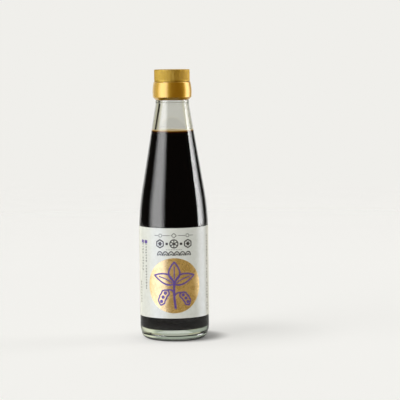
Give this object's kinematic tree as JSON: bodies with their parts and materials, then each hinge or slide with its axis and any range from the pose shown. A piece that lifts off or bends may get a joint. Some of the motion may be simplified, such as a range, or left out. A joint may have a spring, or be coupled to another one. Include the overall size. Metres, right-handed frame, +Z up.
{
  "type": "soy sauce bottle",
  "caption": "Clear glass bottle of dark soy sauce with a long sloping shoulder, a gold pouring cap with a grooved lid, and a pale paper label wrapped round the body.",
  "frame": {"origin": "middle of the base, at the level of the surface that the bottle stands on", "axes": "+Z up along the bottle's axis, -Y out of the label's front, +X to the right seen from the front"},
  "size_m": [0.0524, 0.0525, 0.2014],
  "materials": {
    "clear_glass": "clear, smooth, with a pale green tint where it is thick",
    "soy_sauce": "dark brown liquid, orange-brown where it is thin",
    "polished_gold": "polished gold lacquer on metal",
    "satin_gold": "satin gold lacquer on metal",
    "label_paper": "uncoated off-white paper with fine fibres",
    "gold_foil": "gold foil pressed on paper, slightly uneven",
    "violet_print": "violet ink",
    "dark_print": "dark grey ink"
  },
  "bodies": {
    "root": {"glass_bottle": "clear_glass", "soy_sauce": "soy_sauce", "pour_collar": "polished_gold", "screw_lid": "satin_gold", "label": "label_paper"}
  },
  "joints": []
}
